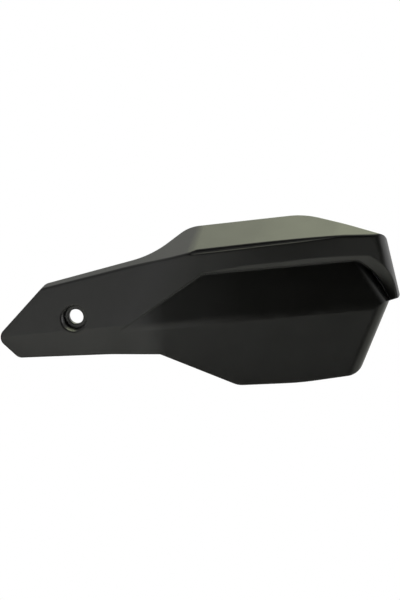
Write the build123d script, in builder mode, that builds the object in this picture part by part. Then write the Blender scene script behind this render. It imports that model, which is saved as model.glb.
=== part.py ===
# Motorcycle hand guard: one moulded plastic shell, clamped at the bar end and screwed at the inner end.
# Millimetres.  X runs along the guard from the bar end inwards, Z is up and the front faces -Y.
# The origin is on the bar-end bolt hole, in the middle of the wall that the bolt clamps.
import os
from math import cos, radians, sin, tan

from build123d import *

# wall of the moulding and the return rim round its open back
wall = 3.0
rim_depth = 12.0

# crease: the straight character line across the guard, and how steeply it rises
crease_rise_deg = 5.3
crease_height = -10.2

# plan of the front at the crease: the arm, the shoulder and the gently rounded shield
arm_left = -75.0
arm_front = -8.5
arm_slope = -0.225
shoulder_start = 21.0
shoulder_slope = -0.36
shoulder_end = 50.0
shield_left_slope = -0.08
shield_middle = 140.0
shield_right_slope = 0.12
plan_right = 262.0
plan_back = 75.0
shoulder_start_radius = 200.0
shoulder_end_radius = 100.0
shield_radius = 600.0

# faces that leave the crease, as drift to the right and lean to the rear for each step of height
brow_drift = 0.62
brow_lean = -0.20
lower_lean = 0.23
face_reach = 110.0

# inner end seen from the front: the brow's hook, the notch under it and the heel of the shield
hook_top = (223.5, 57.8)
hook_end = (234.5, 13.8)
notch = (226.3, 11.2)
heel = (204.4, -42.2)

# outline seen from the front, clockwise from the tip of the arm, each corner with its radius
outline_corners = [
    (-58.3, -15.9, 6.8),
    (-22.4, 23.5, 7.0),
    (54.6, 44.1, 73.0),
    (81.4, 64.8, 26.0),
    (165.3, 74.0, 60.0),
    (194.8, 66.4, 200.0),
    (*hook_top, 6.0),
    (*hook_end, 3.0),
    (*notch, 1.0),
    (*heel, 14.0),
    (162.1, -48.1, 200.0),
    (117.2, -50.0, 16.0),
    (60.8, -27.6, 4.0),
    (25.6, -27.6, 200.0),
    (-42.3, -30.4, 6.5),
]
outline_front = 70.0
outline_back = 40.0

# rounding of the inner end, and how far its sides stand proud of the outline that trims them
side_radius = 10.0
side_over = 0.06

# bevel under the brow: the edge that it leaves, each upper corner with its radius
hood_corners = [
    (7.2, -24.8, 0),
    (90.0, 31.8, 9.0),
    (150.0, 36.9, 0),
    (212.0, 45.5, 12.0),
    (240.0, 35.5, 25.0),
    (262.0, -23.0, 0),
]

# plane of that edge, which lies in front of two of its corners, and the air before and behind it
hood_ends = [hood_corners[1][:2], hood_corners[3][:2]]
hood_over = 1.0
hood_mouth = 9.0
hood_depth = 20.5
hood_slant_deg = 45.0

# eased edges of the bevel, and how far behind its plane the brow's own edge can lie
hood_edge_radius = 0.6
hood_edge_band = 5.0

# slot behind the bevel's lip: its outline seen from the front, each corner with its radius
slot_corners = [
    (30.0, -11.9, 1.0),
    (91.5, 30.2, 7.0),
    (203.0, 40.4, 10.0),
    (218.5, 29.8, 40.0),
    (241.0, -19.0, 1.0),
]

# panel under the brow: set back, rounded over the crease and trimmed at the inner end
floor_set_back = 0.6
floor_lap = 0.03
floor_crease_radius = 32.0
panel_side = [(205.0, 45.0), (228.6, 9.0)]

# roof: its line along the ridge and the way it runs back
roof_line = [(-63.0, -6.0), (82.4, 45.95), (133.9, 53.7), (190.0, 59.8), (262.0, 57.5)]
roof_line_radii = [30.0, 300.0, 100.0]
roof_line_depth = -33.0
roof_back_dir = (0.163, 0.877, 0.447)
roof_reach = 150.0
roof_bottom = -160.0
ridge_radius = 1.6

# ledge: a strip of roof along the ridge that lies a little lower, up to a step in the roof
ledge_line = [(40.0, 37.7), (133.9, 51.9), (200.0, 59.9), (262.0, 67.0)]
ledge_line_radii = [300.0, 300.0]
ledge_step_plan = [(80.5, -34.2), (87.0, -30.9), (133.0, -34.4), (165.0, -35.2), (198.0, -37.2)]

# bar-end fixing: sunk seat, drafted cup and clearance hole, square to the arm
seat_axis = (-0.215, -0.956, -0.198)
seat_wall = 4.0
seat_radius = 8.2
bolt_hole_radius = 5.5
cup_draft_deg = 10.0
cup_reach = 16.0
cup_edge_radius = 0.8

# inner fixing: screw boss behind the panel with four gussets
boss_x = 176.0
boss_z = 18.0
boss_radius = 6.5
boss_end = -6.0
pilot_radius = 2.1
pilot_depth = 13.0
gusset_thickness = 2.0
gusset_reach = 13.0
gusset_end = -14.0

# ribs: under the roof and along the arm
roof_rib_x = [112.0, 150.0, 188.0]
roof_rib_thickness = 2.0
roof_rib_corners = [(-45.0, 30.0), (-27.0, 30.0), (-2.0, 55.0), (-2.0, 80.0), (-45.0, 80.0)]
arm_rib_thickness = 2.0
arm_rib_corners = [(4.0, 0.5), (21.0, -3.0), (50.0, -13.0), (72.0, -16.0), (72.0, -40.0), (4.0, -40.0)]

# how squarely a face has to look forwards, or up, to count as a front face or as a roof face
front_facing = 0.85
partly_facing = 0.5
facing_slack = 0.1

crease_rise = tan(radians(crease_rise_deg))
crease_plane = Plane((0, 0, crease_height), x_dir=(1, 0, crease_rise), z_dir=(-crease_rise, 0, 1))
seat_plane = Plane((0, 0, 0), x_dir=(1, 0, 0), z_dir=seat_axis).offset(seat_wall / 2)


def leaving(drift, lean, up):
    """Direction in which a face leaves the crease."""
    return crease_plane.x_dir * drift + crease_plane.y_dir * lean + crease_plane.z_dir * up


brow_dir = leaving(brow_drift, brow_lean, 1)
lower_dir = leaving(0, lower_lean, -1)
floor_dir = leaving(0, 0, 1)
roof_run = Vector(*roof_back_dir).normalized()


def front_depth(x, z):
    """Depth of the brow's front at a place seen from the front, with its roundings left out."""
    rise = z - crease_height - crease_rise * x
    along = x - brow_drift * rise
    depth = arm_front + arm_slope * shoulder_start + shoulder_slope * (shoulder_end - shoulder_start)
    depth += shield_left_slope * (min(along, shield_middle) - shoulder_end)
    depth += shield_right_slope * max(along - shield_middle, 0)
    return depth + brow_lean * rise


def hood_frame():
    """Plane of the bevel's edge, which follows the front from one end of the bevel to the other."""
    left, right = hood_ends
    turn = (front_depth(*right) - front_depth(*left)) / (right[0] - left[0])
    depth = front_depth(*left) - turn * left[0] - hood_over
    return Plane((0, depth, 0), x_dir=(1, turn, 0), z_dir=(turn, -1, 0))


hood_plane = hood_frame()


def plan_sketch(inset):
    """All that lies behind the front line, in the plane of the crease."""
    shoulder_front = arm_front + arm_slope * shoulder_start
    shield_front = shoulder_front + shoulder_slope * (shoulder_end - shoulder_start)
    middle_front = shield_front + shield_left_slope * (shield_middle - shoulder_end)
    right_front = middle_front + shield_right_slope * (plan_right - shield_middle)
    left_end = (arm_left, arm_front + arm_slope * arm_left)
    right_end = (plan_right, right_front)
    with BuildSketch(crease_plane) as plan:
        with BuildLine():
            FilletPolyline(
                left_end,
                (shoulder_start, shoulder_front),
                (shoulder_end, shield_front),
                (shield_middle, middle_front),
                right_end,
                radius=[shoulder_start_radius, shoulder_end_radius, shield_radius],
            )
            Polyline(right_end, (plan_right, plan_back), (arm_left, plan_back), left_end)
        make_face()
        if inset > 0:
            offset(amount=-inset, kind=Kind.INTERSECTION)
    return plan.sketch


def side_frame(line, inset):
    """A point on a side line seen from the front, its direction and its outward normal."""
    top = Vector(line[0][0], 0, line[0][1])
    low = Vector(line[1][0], 0, line[1][1])
    along = (low - top).normalized()
    outward = along.cross(Vector(0, 1, 0))
    return top - outward * inset, along, outward


def trim_side(form, line, inset):
    """Cut a form off along a side line and round its front edge there."""
    start, along, outward = side_frame(line, inset)
    split(bisect_by=Plane(start, x_dir=along, z_dir=outward), keep=Keep.BOTTOM)
    side_face = form.faces().sort_by(lambda f: abs((f.center() - start).dot(outward)))[0]
    upright = side_face.edges().filter_by(lambda e: abs((e % 0.5).Y) < partly_facing)
    fillet(upright.filter_by(lambda e: e.center().Y < plan_back / 2), radius=side_radius - max(inset, 0))


def sided_form(direction, line, inset):
    """The plan drawn out in one direction and trimmed at the inner end."""
    with BuildPart() as form:
        add(plan_sketch(inset))
        extrude(amount=face_reach, dir=direction)
        trim_side(form, line, inset - side_over)
    return form.part


def floor_form(inset):
    """The plan moved down the panel, round the crease and down just in front of the lower face."""
    turn = (floor_set_back + floor_lap) / lower_lean
    low = crease_plane.from_local_coords((0, -floor_lap, 0)) + lower_dir * face_reach
    corner = crease_plane.from_local_coords((0, floor_set_back, -turn))
    high = crease_plane.from_local_coords((0, floor_set_back, face_reach))
    with BuildPart() as floor:
        with BuildLine() as path:
            FilletPolyline(low, corner, high, radius=floor_crease_radius - inset)
        section = plan_sketch(inset).moved(Location(low - crease_plane.origin))
        sweep(section.faces(), path.line, normal=crease_plane.z_dir)
        trim_side(floor, panel_side, inset)
    return floor.part


def bevel_form(inset):
    """The air that the bevel under the brow leaves."""
    slant = radians(hood_slant_deg)
    grow = hood_mouth * tan(slant) + inset / cos(slant)
    with BuildPart() as bevel:
        with BuildSketch(hood_plane.offset(hood_mouth)):
            with BuildLine():
                Polyline(*[(x, z) for x, z, radius in hood_corners], close=True)
            make_face()
            offset(amount=grow, kind=Kind.INTERSECTION)
        extrude(amount=-hood_mouth - hood_depth - inset, taper=hood_slant_deg)
        for x, z, radius in hood_corners:
            if radius > 0:
                corner = bevel.edges().sort_by_distance(hood_plane.from_local_coords((x, z, 0)))[0]
                fillet(corner, radius=radius + inset)
    return bevel.part


def hood_form(inset):
    """The air under the brow: the bevel and the slot behind its lip, down to the panel."""
    with BuildPart() as hood:
        add(bevel_form(inset))
        with BuildSketch(hood_plane.offset(hood_mouth)):
            with BuildLine():
                FilletPolyline(
                    *[(x, z) for x, z, radius in slot_corners],
                    radius=[radius for x, z, radius in slot_corners],
                    close=True,
                )
            make_face()
            if inset > 0:
                offset(amount=inset, kind=Kind.INTERSECTION)
        extrude(amount=-hood_mouth - hood_depth - inset)
        add(floor_form(inset), mode=Mode.SUBTRACT)
    return hood.part


def front_form(inset):
    """Solid behind the front: brow and arm above the crease, lower face below it, panel sunk in."""
    with BuildPart() as front:
        add(sided_form(brow_dir, (hook_top, hook_end), inset))
        add(sided_form(lower_dir, (notch, heel), inset))
        add(hood_form(inset), mode=Mode.SUBTRACT)
    return front.part


def roof_form(ridge, radii, inset):
    """All that lies under a ridge line that runs back as a roof."""
    drop = inset / roof_run.Y
    line = [(x, z - drop) for x, z in ridge]
    start = Vector(0, roof_line_depth, 0) - roof_run * roof_reach
    with BuildPart() as roof:
        with BuildSketch(Plane(start, x_dir=Plane.XZ.x_dir, z_dir=Plane.XZ.z_dir)):
            with BuildLine():
                FilletPolyline(*line, radius=radii)
                Polyline(line[-1], (line[-1][0], roof_bottom), (line[0][0], roof_bottom), line[0])
            make_face()
        extrude(amount=2 * roof_reach, dir=roof_run)
    return roof.part


def ledge_form(inset):
    """What the ledge takes from the roof, from the front back to the step."""
    step = [(x, y + inset) for x, y in ledge_step_plan]
    left = (step[0][0], -outline_front)
    right = (step[-1][0], -outline_front)
    with BuildPart() as ledge:
        with BuildSketch():
            with BuildLine():
                Polyline(left, *step, right, close=True)
            make_face()
        extrude(amount=roof_reach)
        add(roof_form(ledge_line, ledge_line_radii, inset), mode=Mode.SUBTRACT)
    return ledge.part


def outline_form(inset):
    """All that lies inside the outline."""
    with BuildPart() as block:
        with BuildSketch(Plane.XZ.offset(-outline_back)):
            with BuildLine():
                FilletPolyline(
                    *[(x, z) for x, z, radius in outline_corners],
                    radius=[radius for x, z, radius in outline_corners],
                    close=True,
                )
            make_face()
            if inset > 0:
                offset(amount=-inset, kind=Kind.INTERSECTION)
        extrude(amount=outline_front + outline_back)
    return block.part


def back_form():
    """The open back: all that lies deeper than the rim."""
    with BuildPart() as back:
        add(plan_sketch(rim_depth))
        extrude(amount=face_reach, dir=lower_dir)
        add(plan_sketch(rim_depth))
        extrude(amount=face_reach, dir=floor_dir)
    return back.part


def shared_edges(some, others):
    """Edges that a face of one group shares with a face of the other."""
    return some.edges().filter_by(lambda edge: any(edge.is_same(other) for other in others.edges()))


def hood_height(shape):
    """How far the middle of a face or edge lies in front of the bevel's plane."""
    return hood_plane.to_local_coords(shape.center()).Z


def outer_form():
    """The guard as a solid block: front, outline and roof, with its sharp edges eased."""
    slant = sin(radians(hood_slant_deg))
    with BuildPart() as outer:
        add(front_form(0))
        add(outline_form(0), mode=Mode.INTERSECT)
        add(roof_form(roof_line, roof_line_radii, 0), mode=Mode.INTERSECT)
        fronts = outer.faces().filter_by(lambda f: f.normal_at().Y < -front_facing)
        hidden = outer.faces().filter_by(lambda f: f.normal_at().Z < -facing_slack)
        bevels = hidden.filter_by(lambda f: abs(f.normal_at().Y + slant) < facing_slack)
        bevels = bevels.filter_by(lambda f: f.center().Z > 0)
        slots = hidden.filter_by(lambda f: abs(f.normal_at().Y) < facing_slack)
        slots = slots.filter_by(lambda f: hood_height(f) > -hood_depth)
        brow_edges = shared_edges(bevels, fronts)
        brow_edges = brow_edges.filter_by(lambda e: hood_height(e) > -hood_edge_band)
        edges = brow_edges + shared_edges(bevels, slots)
        fillet(edges.filter_by(lambda e: not e.is_interior), radius=hood_edge_radius)
        fronts = outer.faces().filter_by(lambda f: f.normal_at().Y < -partly_facing)
        fronts = fronts.filter_by(lambda f: f.normal_at().Z < partly_facing)
        roofs = outer.faces().filter_by(lambda f: f.normal_at().Z > partly_facing)
        roofs = roofs.filter_by(lambda f: abs(f.normal_at().dot(roof_run)) < facing_slack)
        fillet(shared_edges(roofs, fronts), radius=ridge_radius)
        add(ledge_form(0), mode=Mode.SUBTRACT)
    return outer.part


def inner_form():
    """The hollow behind the wall, open to the rear."""
    with BuildPart() as inner:
        add(front_form(wall))
        add(outline_form(wall), mode=Mode.INTERSECT)
        add(back_form())
        add(roof_form(roof_line, roof_line_radii, wall), mode=Mode.INTERSECT)
        add(ledge_form(wall), mode=Mode.SUBTRACT)
    return inner.part


def cone_radius(base, height):
    """Radius of the drafted cup at a height over its seat."""
    return base + height * tan(radians(cup_draft_deg))


outer = outer_form()

# cup, screw boss, gussets and ribs, all trimmed to the outside of the guard
with BuildPart() as fittings:
    with Locations(seat_plane.offset((cup_reach - seat_wall) / 2)):
        Cone(
            cone_radius(seat_radius + wall, -seat_wall),
            cone_radius(seat_radius + wall, cup_reach),
            cup_reach + seat_wall,
        )
    with BuildSketch(Plane.XZ.offset(-boss_end)):
        with Locations((boss_x, boss_z)):
            Circle(boss_radius)
    extrude(amount=outline_front)
    with BuildSketch(Plane.XZ.offset(-gusset_end)):
        with Locations((boss_x, boss_z)):
            Rectangle(2 * gusset_reach, gusset_thickness)
            Rectangle(gusset_thickness, 2 * gusset_reach)
    extrude(amount=outline_front)
    for rib_x in roof_rib_x:
        with BuildSketch(Plane.YZ.offset(rib_x)):
            with BuildLine():
                Polyline(*roof_rib_corners, close=True)
            make_face()
        extrude(amount=roof_rib_thickness / 2, both=True)
    with BuildSketch(crease_plane):
        with BuildLine():
            Polyline(*arm_rib_corners, close=True)
        make_face()
    extrude(amount=arm_rib_thickness / 2, both=True)
    add(outer, mode=Mode.INTERSECT)

with BuildPart() as guard_shell:
    add(outer)
    add(inner_form(), mode=Mode.SUBTRACT)
    add(fittings.part)
    with Locations(seat_plane.offset(cup_reach / 2)):
        Cone(seat_radius, cone_radius(seat_radius, cup_reach), cup_reach, mode=Mode.SUBTRACT)
    cup_face = guard_shell.faces(Select.LAST).filter_by(GeomType.CONE)
    fillet(cup_face.edges().filter_by(GeomType.ELLIPSE), radius=cup_edge_radius)
    with Locations(seat_plane):
        Cylinder(bolt_hole_radius, 2 * cup_reach, mode=Mode.SUBTRACT)
    with Locations((boss_x, boss_end, boss_z)):
        Cylinder(pilot_radius, 2 * pilot_depth, rotation=(90, 0, 0), mode=Mode.SUBTRACT)

guard_shell.part.label = "guard_shell"
os.makedirs("parts", exist_ok=True)
export_step(guard_shell.part, "parts/guard_shell.step")
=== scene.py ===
from math import radians

import bpy
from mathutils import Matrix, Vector

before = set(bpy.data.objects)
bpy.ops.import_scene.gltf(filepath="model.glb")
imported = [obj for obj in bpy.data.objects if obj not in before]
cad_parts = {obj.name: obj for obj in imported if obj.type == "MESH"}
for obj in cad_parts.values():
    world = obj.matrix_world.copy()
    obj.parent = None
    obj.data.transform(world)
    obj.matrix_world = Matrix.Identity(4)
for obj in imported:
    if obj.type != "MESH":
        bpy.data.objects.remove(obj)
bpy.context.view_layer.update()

# photograph: its frame in pixels, its scale, and the pixel of the bolt hole, which is the frame's origin
PHOTO_HEIGHT = 600
PHOTO_CENTRE = (200, 300)
BOLT_HOLE_PIXEL = (76.7, 316.0)
METRES_PER_PIXEL = 0.000726

# camera, square on to the front
CAMERA_DISTANCE = 3.0
CAMERA_SIGHT = 20
SENSOR = 36.0

# stage: a pale floor, and three white cards that lie in front of the guard, all under the camera's view
FLOOR = {"left": -5.0, "right": 5.0, "front": -0.9, "back": 5.0, "level": -0.9}
LEFT_CARD = {"left": -0.7, "right": -0.06, "front": -1.3, "back": -0.32, "level": -0.26}
FRONT_CARD = {"left": -0.06, "right": 0.05, "front": -1.3, "back": -0.78, "level": -0.26}
RIGHT_CARD = {"left": 0.0, "right": 0.6, "front": -0.6, "back": -0.49, "level": -0.26}
PAPER_WHITE = (0.86, 0.86, 0.85)
PAPER_ROUGHNESS = 0.9

# lamps: place, what they look at, size and power
LEFT_LAMP = {
    "place": (-0.8, -1.12, -0.06), "aim": (0.05, 0, 0),
    "width": 1.1, "height": 0.4, "power": 0.5}
RIGHT_LAMP = {
    "place": (1.0, 0.2, 0), "aim": (0.2, 0, 0),
    "width": 1.3, "height": 0.7, "power": 1.4}
CARD_LAMP = {
    "place": (0.1, -0.72, 0.4), "aim": (0.1, -0.72, -0.26),
    "width": 0.9, "height": 0.2, "power": 3.8}
LAMP_SPREAD_DEG = 120

# pale tent: strength all round the guard, and the direction and reach of the dark opening for the camera
TENT_LIGHT = {"colour": (1.0, 1.0, 0.98), "around": 0.6, "middle": 0.0, "fade": 0.45}
CAMERA_OPENING = {"towards": (0.12, -1.0, -0.17), "reach": (1.1, 1.6, 1.15)}

# sky light: strength, and the direction and reach of the patch above and behind the guard
SKY_LIGHT = {"colour": (0.94, 1.0, 0.66), "around": 0.0, "middle": 1.95, "fade": 0.6}
SKY_PATCH = {"towards": (0.18, 0.61, 0.76), "reach": (0.45, 0.55, 0.55)}

# moulded plastic: two near blacks, and the patches in which they change
PLASTIC_DARK = (0.0048, 0.0048, 0.0043)
PLASTIC_LIGHT = (0.0068, 0.0068, 0.0062)
PLASTIC_IOR = 1.5
TONE_NOISE = {"scale": 30, "detail": 3}
NOISE_SPAN = (0.3, 0.7)

# sheen: a range that crosses about 0.27 leaves fine seams in the denoised render
SHEEN_ROUGHNESS = (0.28, 0.32)
SHEEN_NOISE = {"scale": 45, "detail": 4}

# moulded grain and eased edges, in metres
GRAIN_NOISE = {"scale": 1800, "detail": 2}
GRAIN_STRENGTH = 0.08
GRAIN_DEPTH = 0.0002
EDGE_RADIUS = 0.0018
EDGE_SAMPLES = 12


def add_camera():
    """The photograph's view: level, square on to the front, with the bolt hole at its own pixel."""
    camera = bpy.data.objects.new("camera", bpy.data.cameras.new("camera"))
    bpy.context.collection.objects.link(camera)
    right = (PHOTO_CENTRE[0] - BOLT_HOLE_PIXEL[0]) * METRES_PER_PIXEL
    up = (BOLT_HOLE_PIXEL[1] - PHOTO_CENTRE[1]) * METRES_PER_PIXEL
    camera.location = (right, -CAMERA_DISTANCE, up)
    camera.rotation_euler = (radians(90), 0, 0)
    camera.data.sensor_width = SENSOR
    camera.data.lens = SENSOR * CAMERA_DISTANCE / (PHOTO_HEIGHT * METRES_PER_PIXEL)
    camera.data.clip_end = CAMERA_SIGHT
    bpy.context.scene.camera = camera


def add_lamp(name, place, aim, width, height, power):
    """A soft rectangular lamp at one place that looks at another."""
    lamp = bpy.data.objects.new(name, bpy.data.lights.new(name, "AREA"))
    bpy.context.collection.objects.link(lamp)
    lamp.data.shape = "RECTANGLE"
    lamp.data.size = width
    lamp.data.size_y = height
    lamp.data.energy = power
    lamp.data.spread = radians(LAMP_SPREAD_DEG)
    lamp.location = place
    lamp.rotation_euler = (Vector(aim) - Vector(place)).to_track_quat("-Z", "Y").to_euler()


def direction_light(world, patch, colour, around, middle, fade):
    """Light from all directions, with another strength in a soft patch of them."""
    nodes = world.node_tree.nodes
    links = world.node_tree.links
    direction = nodes.new("ShaderNodeTexCoord")
    place = nodes.new("ShaderNodeMapping")
    place.vector_type = "TEXTURE"
    place.inputs["Location"].default_value = patch["towards"]
    place.inputs["Scale"].default_value = patch["reach"]
    links.new(direction.outputs["Generated"], place.inputs["Vector"])
    ball = nodes.new("ShaderNodeTexGradient")
    ball.gradient_type = "SPHERICAL"
    links.new(place.outputs["Vector"], ball.inputs["Vector"])
    strength = nodes.new("ShaderNodeMapRange")
    strength.interpolation_type = "SMOOTHSTEP"
    strength.inputs["From Max"].default_value = fade
    strength.inputs["To Min"].default_value = around
    strength.inputs["To Max"].default_value = middle
    links.new(ball.outputs["Fac"], strength.inputs["Value"])
    light = nodes.new("ShaderNodeBackground")
    light.inputs["Color"].default_value = (*colour, 1)
    links.new(strength.outputs["Result"], light.inputs["Strength"])
    return light.outputs["Background"]


def add_studio():
    """White to the camera; to the guard a pale tent that is dark towards the camera, with a sky light."""
    world = bpy.data.worlds.new("studio")
    bpy.context.scene.world = world
    world.use_nodes = True
    nodes = world.node_tree.nodes
    links = world.node_tree.links
    both = nodes.new("ShaderNodeAddShader")
    links.new(direction_light(world, CAMERA_OPENING, **TENT_LIGHT), both.inputs[0])
    links.new(direction_light(world, SKY_PATCH, **SKY_LIGHT), both.inputs[1])
    white = nodes["Background"]
    white.inputs["Color"].default_value = (1, 1, 1, 1)
    white.inputs["Strength"].default_value = 1
    seen = nodes.new("ShaderNodeLightPath")
    choice = nodes.new("ShaderNodeMixShader")
    links.new(seen.outputs["Is Camera Ray"], choice.inputs["Fac"])
    links.new(both.outputs["Shader"], choice.inputs[1])
    links.new(white.outputs["Background"], choice.inputs[2])
    links.new(choice.outputs["Shader"], nodes["World Output"].inputs["Surface"])


def white_paper():
    """Dull white paper for the floor and the cards."""
    paper = bpy.data.materials.new("white_paper")
    paper.use_nodes = True
    shader = paper.node_tree.nodes["Principled BSDF"]
    shader.inputs["Base Color"].default_value = (*PAPER_WHITE, 1)
    shader.inputs["Roughness"].default_value = PAPER_ROUGHNESS
    return paper


def add_sheet(name, paper, left, right, front, back, level):
    """A flat sheet of the stage."""
    middle = ((left + right) / 2, (front + back) / 2, level)
    bpy.ops.object.select_all(action="DESELECT")
    bpy.ops.mesh.primitive_plane_add(size=1, location=middle)
    sheet = bpy.context.object
    sheet.name = name
    sheet.scale = (right - left, back - front, 1)
    bpy.ops.object.transform_apply(location=True, rotation=True, scale=True)
    sheet.data.materials.append(paper)


def noise_range(material, low, high, scale, detail):
    """Noise in the guard's own space, spread over a range of values."""
    nodes = material.node_tree.nodes
    links = material.node_tree.links
    place = nodes.new("ShaderNodeTexCoord")
    noise = nodes.new("ShaderNodeTexNoise")
    noise.inputs["Scale"].default_value = scale
    noise.inputs["Detail"].default_value = detail
    links.new(place.outputs["Object"], noise.inputs["Vector"])
    spread = nodes.new("ShaderNodeMapRange")
    spread.inputs["From Min"].default_value = NOISE_SPAN[0]
    spread.inputs["From Max"].default_value = NOISE_SPAN[1]
    spread.inputs["To Min"].default_value = low
    spread.inputs["To Max"].default_value = high
    links.new(noise.outputs["Fac"], spread.inputs["Value"])
    return spread.outputs["Result"]


def moulded_plastic():
    """Satin black plastic: a fine eroded grain, a slightly uneven tone and sheen, and eased edges."""
    material = bpy.data.materials.new("moulded_black_plastic")
    material.use_nodes = True
    nodes = material.node_tree.nodes
    links = material.node_tree.links
    shader = nodes["Principled BSDF"]
    shader.inputs["IOR"].default_value = PLASTIC_IOR

    tone = nodes.new("ShaderNodeMix")
    tone.data_type = "RGBA"
    tone.inputs["A"].default_value = (*PLASTIC_DARK, 1)
    tone.inputs["B"].default_value = (*PLASTIC_LIGHT, 1)
    links.new(noise_range(material, 0, 1, **TONE_NOISE), tone.inputs["Factor"])
    links.new(tone.outputs["Result"], shader.inputs["Base Color"])
    sheen = noise_range(material, *SHEEN_ROUGHNESS, **SHEEN_NOISE)
    links.new(sheen, shader.inputs["Roughness"])

    edges = nodes.new("ShaderNodeBevel")
    edges.samples = EDGE_SAMPLES
    edges.inputs["Radius"].default_value = EDGE_RADIUS
    grain = nodes.new("ShaderNodeBump")
    grain.inputs["Strength"].default_value = GRAIN_STRENGTH
    grain.inputs["Distance"].default_value = GRAIN_DEPTH
    links.new(noise_range(material, 0, 1, **GRAIN_NOISE), grain.inputs["Height"])
    links.new(edges.outputs["Normal"], grain.inputs["Normal"])
    links.new(grain.outputs["Normal"], shader.inputs["Normal"])
    return material


add_camera()
add_studio()
add_lamp("left_lamp", **LEFT_LAMP)
add_lamp("right_lamp", **RIGHT_LAMP)
add_lamp("card_lamp", **CARD_LAMP)
paper = white_paper()
add_sheet("floor", paper, **FLOOR)
add_sheet("left_card", paper, **LEFT_CARD)
add_sheet("front_card", paper, **FRONT_CARD)
add_sheet("right_card", paper, **RIGHT_CARD)
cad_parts["guard_shell"].material_slots[0].material = moulded_plastic()

bpy.context.scene.view_settings.view_transform = "Standard"
